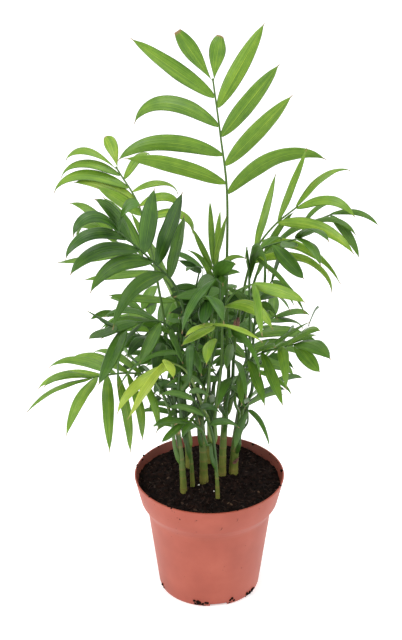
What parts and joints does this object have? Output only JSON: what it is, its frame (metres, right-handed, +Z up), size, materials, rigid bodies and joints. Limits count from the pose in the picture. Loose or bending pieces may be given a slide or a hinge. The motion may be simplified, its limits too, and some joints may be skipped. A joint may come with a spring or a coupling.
{
  "type": "potted palm",
  "caption": "Young parlour palm with arching pinnate fronds on short canes, planted in peat in a round tapered plastic nursery pot.",
  "frame": {"origin": "centre of the pot's base, on the surface that the pot stands on", "axes": "+Z up along the pot's axis, +X to the right and -Y to the front, the side that the picture looks at"},
  "size_m": [0.2614, 0.2941, 0.4673],
  "materials": {
    "terracotta_plastic": "satin, terracotta-coloured thin moulded polypropylene",
    "peat_soil": "matt dark peat with fibres and white perlite specks",
    "cane_green": "satin olive-green cane with brown sheath scars",
    "leaf_green": "satin mid-green leaf with fine parallel veins"
  },
  "bodies": {
    "root": {"pot": "terracotta_plastic", "soil": "peat_soil", "cane_left": "cane_green", "cane_left_slim": "cane_green", "cane_middle": "cane_green", "cane_front_slim": "cane_green", "cane_right": "cane_green", "cane_right_stout": "cane_green", "cane_back": "cane_green", "cane_back_left": "cane_green", "frond_tall": "leaf_green", "frond_front_left": "leaf_green", "frond_right_light": "leaf_green", "frond_low_left": "leaf_green", "frond_low_right": "leaf_green", "frond_young_left": "leaf_green", "frond_centre_right": "leaf_green", "frond_centre_low": "leaf_green", "frond_centre": "leaf_green", "frond_back_left": "leaf_green", "frond_mid_left": "leaf_green", "frond_young_middle": "leaf_green", "frond_right_front": "leaf_green", "frond_hanging_right": "leaf_green", "frond_low_centre": "leaf_green", "frond_right_back": "leaf_green", "frond_behind_left": "leaf_green", "frond_inner_left": "leaf_green", "frond_inner_middle": "leaf_green", "frond_inner_right": "leaf_green", "frond_dark_left": "leaf_green", "frond_inner_back": "leaf_green", "frond_centre_back": "leaf_green", "frond_right_inner": "leaf_green", "frond_back": "leaf_green", "frond_back_right": "leaf_green", "frond_back_low": "leaf_green"}
  },
  "joints": []
}
